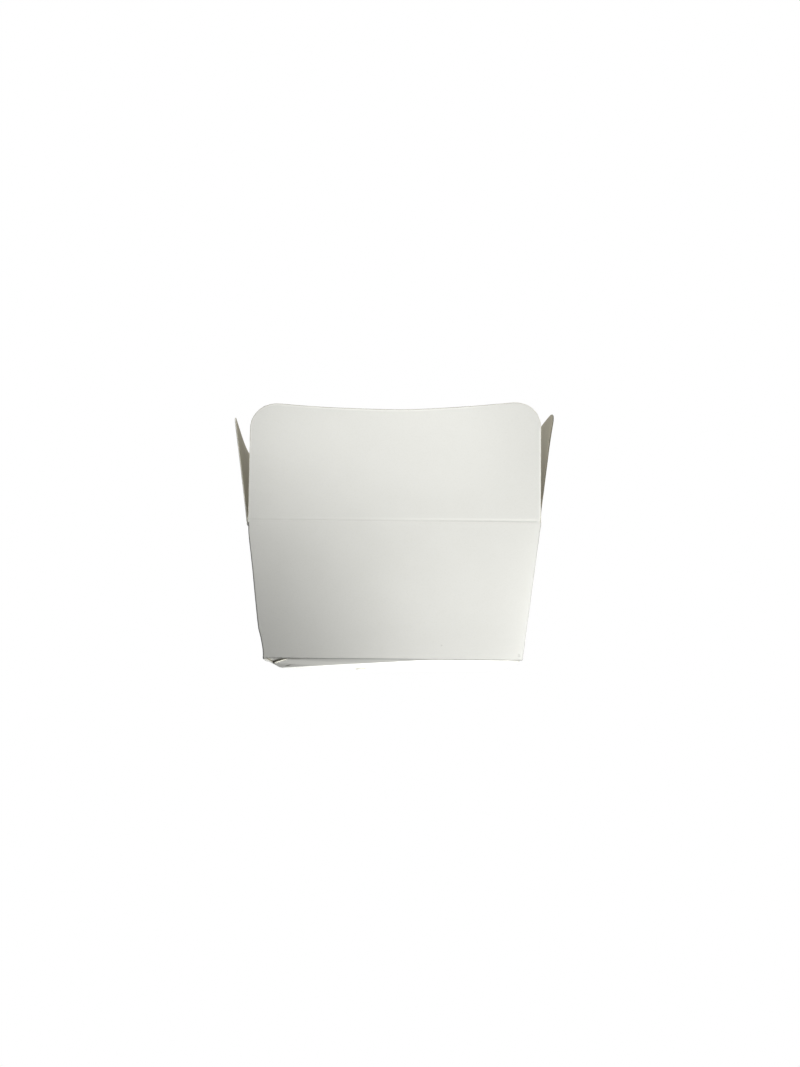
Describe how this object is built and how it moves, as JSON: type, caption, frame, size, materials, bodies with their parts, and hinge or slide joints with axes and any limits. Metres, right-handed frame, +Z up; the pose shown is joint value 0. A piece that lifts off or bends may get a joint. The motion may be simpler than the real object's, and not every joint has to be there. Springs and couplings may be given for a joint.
{
  "type": "folding carton",
  "caption": "Small tapered white board box for sweets, open on top, with a locking folded base, two long eared closing flaps and two short side flaps.",
  "frame": {"origin": "middle of the underside, on the plane the box stands on", "axes": "+Z up; +X along the long side to the right seen from the front; -Y is the front"},
  "size_m": [0.1412, 0.0912, 0.1091],
  "materials": {
    "white_board": "smooth matt white-lined folding boxboard, slightly warmer and duller inside, pale cut edges"
  },
  "bodies": {
    "tray": {"box_body": "white_board"},
    "front": {"front_flap": "white_board"},
    "rear": {"rear_flap": "white_board"},
    "left": {"left_side_flap": "white_board"},
    "right": {"right_side_flap": "white_board"}
  },
  "joints": [
    {"name": "front_flap_crease", "type": "hinge", "parent": "tray", "child": "front", "pos_m": [0, -0.03785, 0.0579], "axis": [-1, 0, 0], "range_deg": [-100, 97.8]},
    {"name": "rear_flap_crease", "type": "hinge", "parent": "tray", "child": "rear", "pos_m": [0, 0.03785, 0.0579], "axis": [1, 0, 0], "range_deg": [-100, 95.3]},
    {"name": "left_flap_crease", "type": "hinge", "parent": "tray", "child": "left", "pos_m": [-0.06283, 0, 0.0571], "axis": [0, 1, 0], "range_deg": [-100, 102.5]},
    {"name": "right_flap_crease", "type": "hinge", "parent": "tray", "child": "right", "pos_m": [0.06283, 0, 0.0571], "axis": [0, -1, 0], "range_deg": [-100, 102.5]}
  ]
}
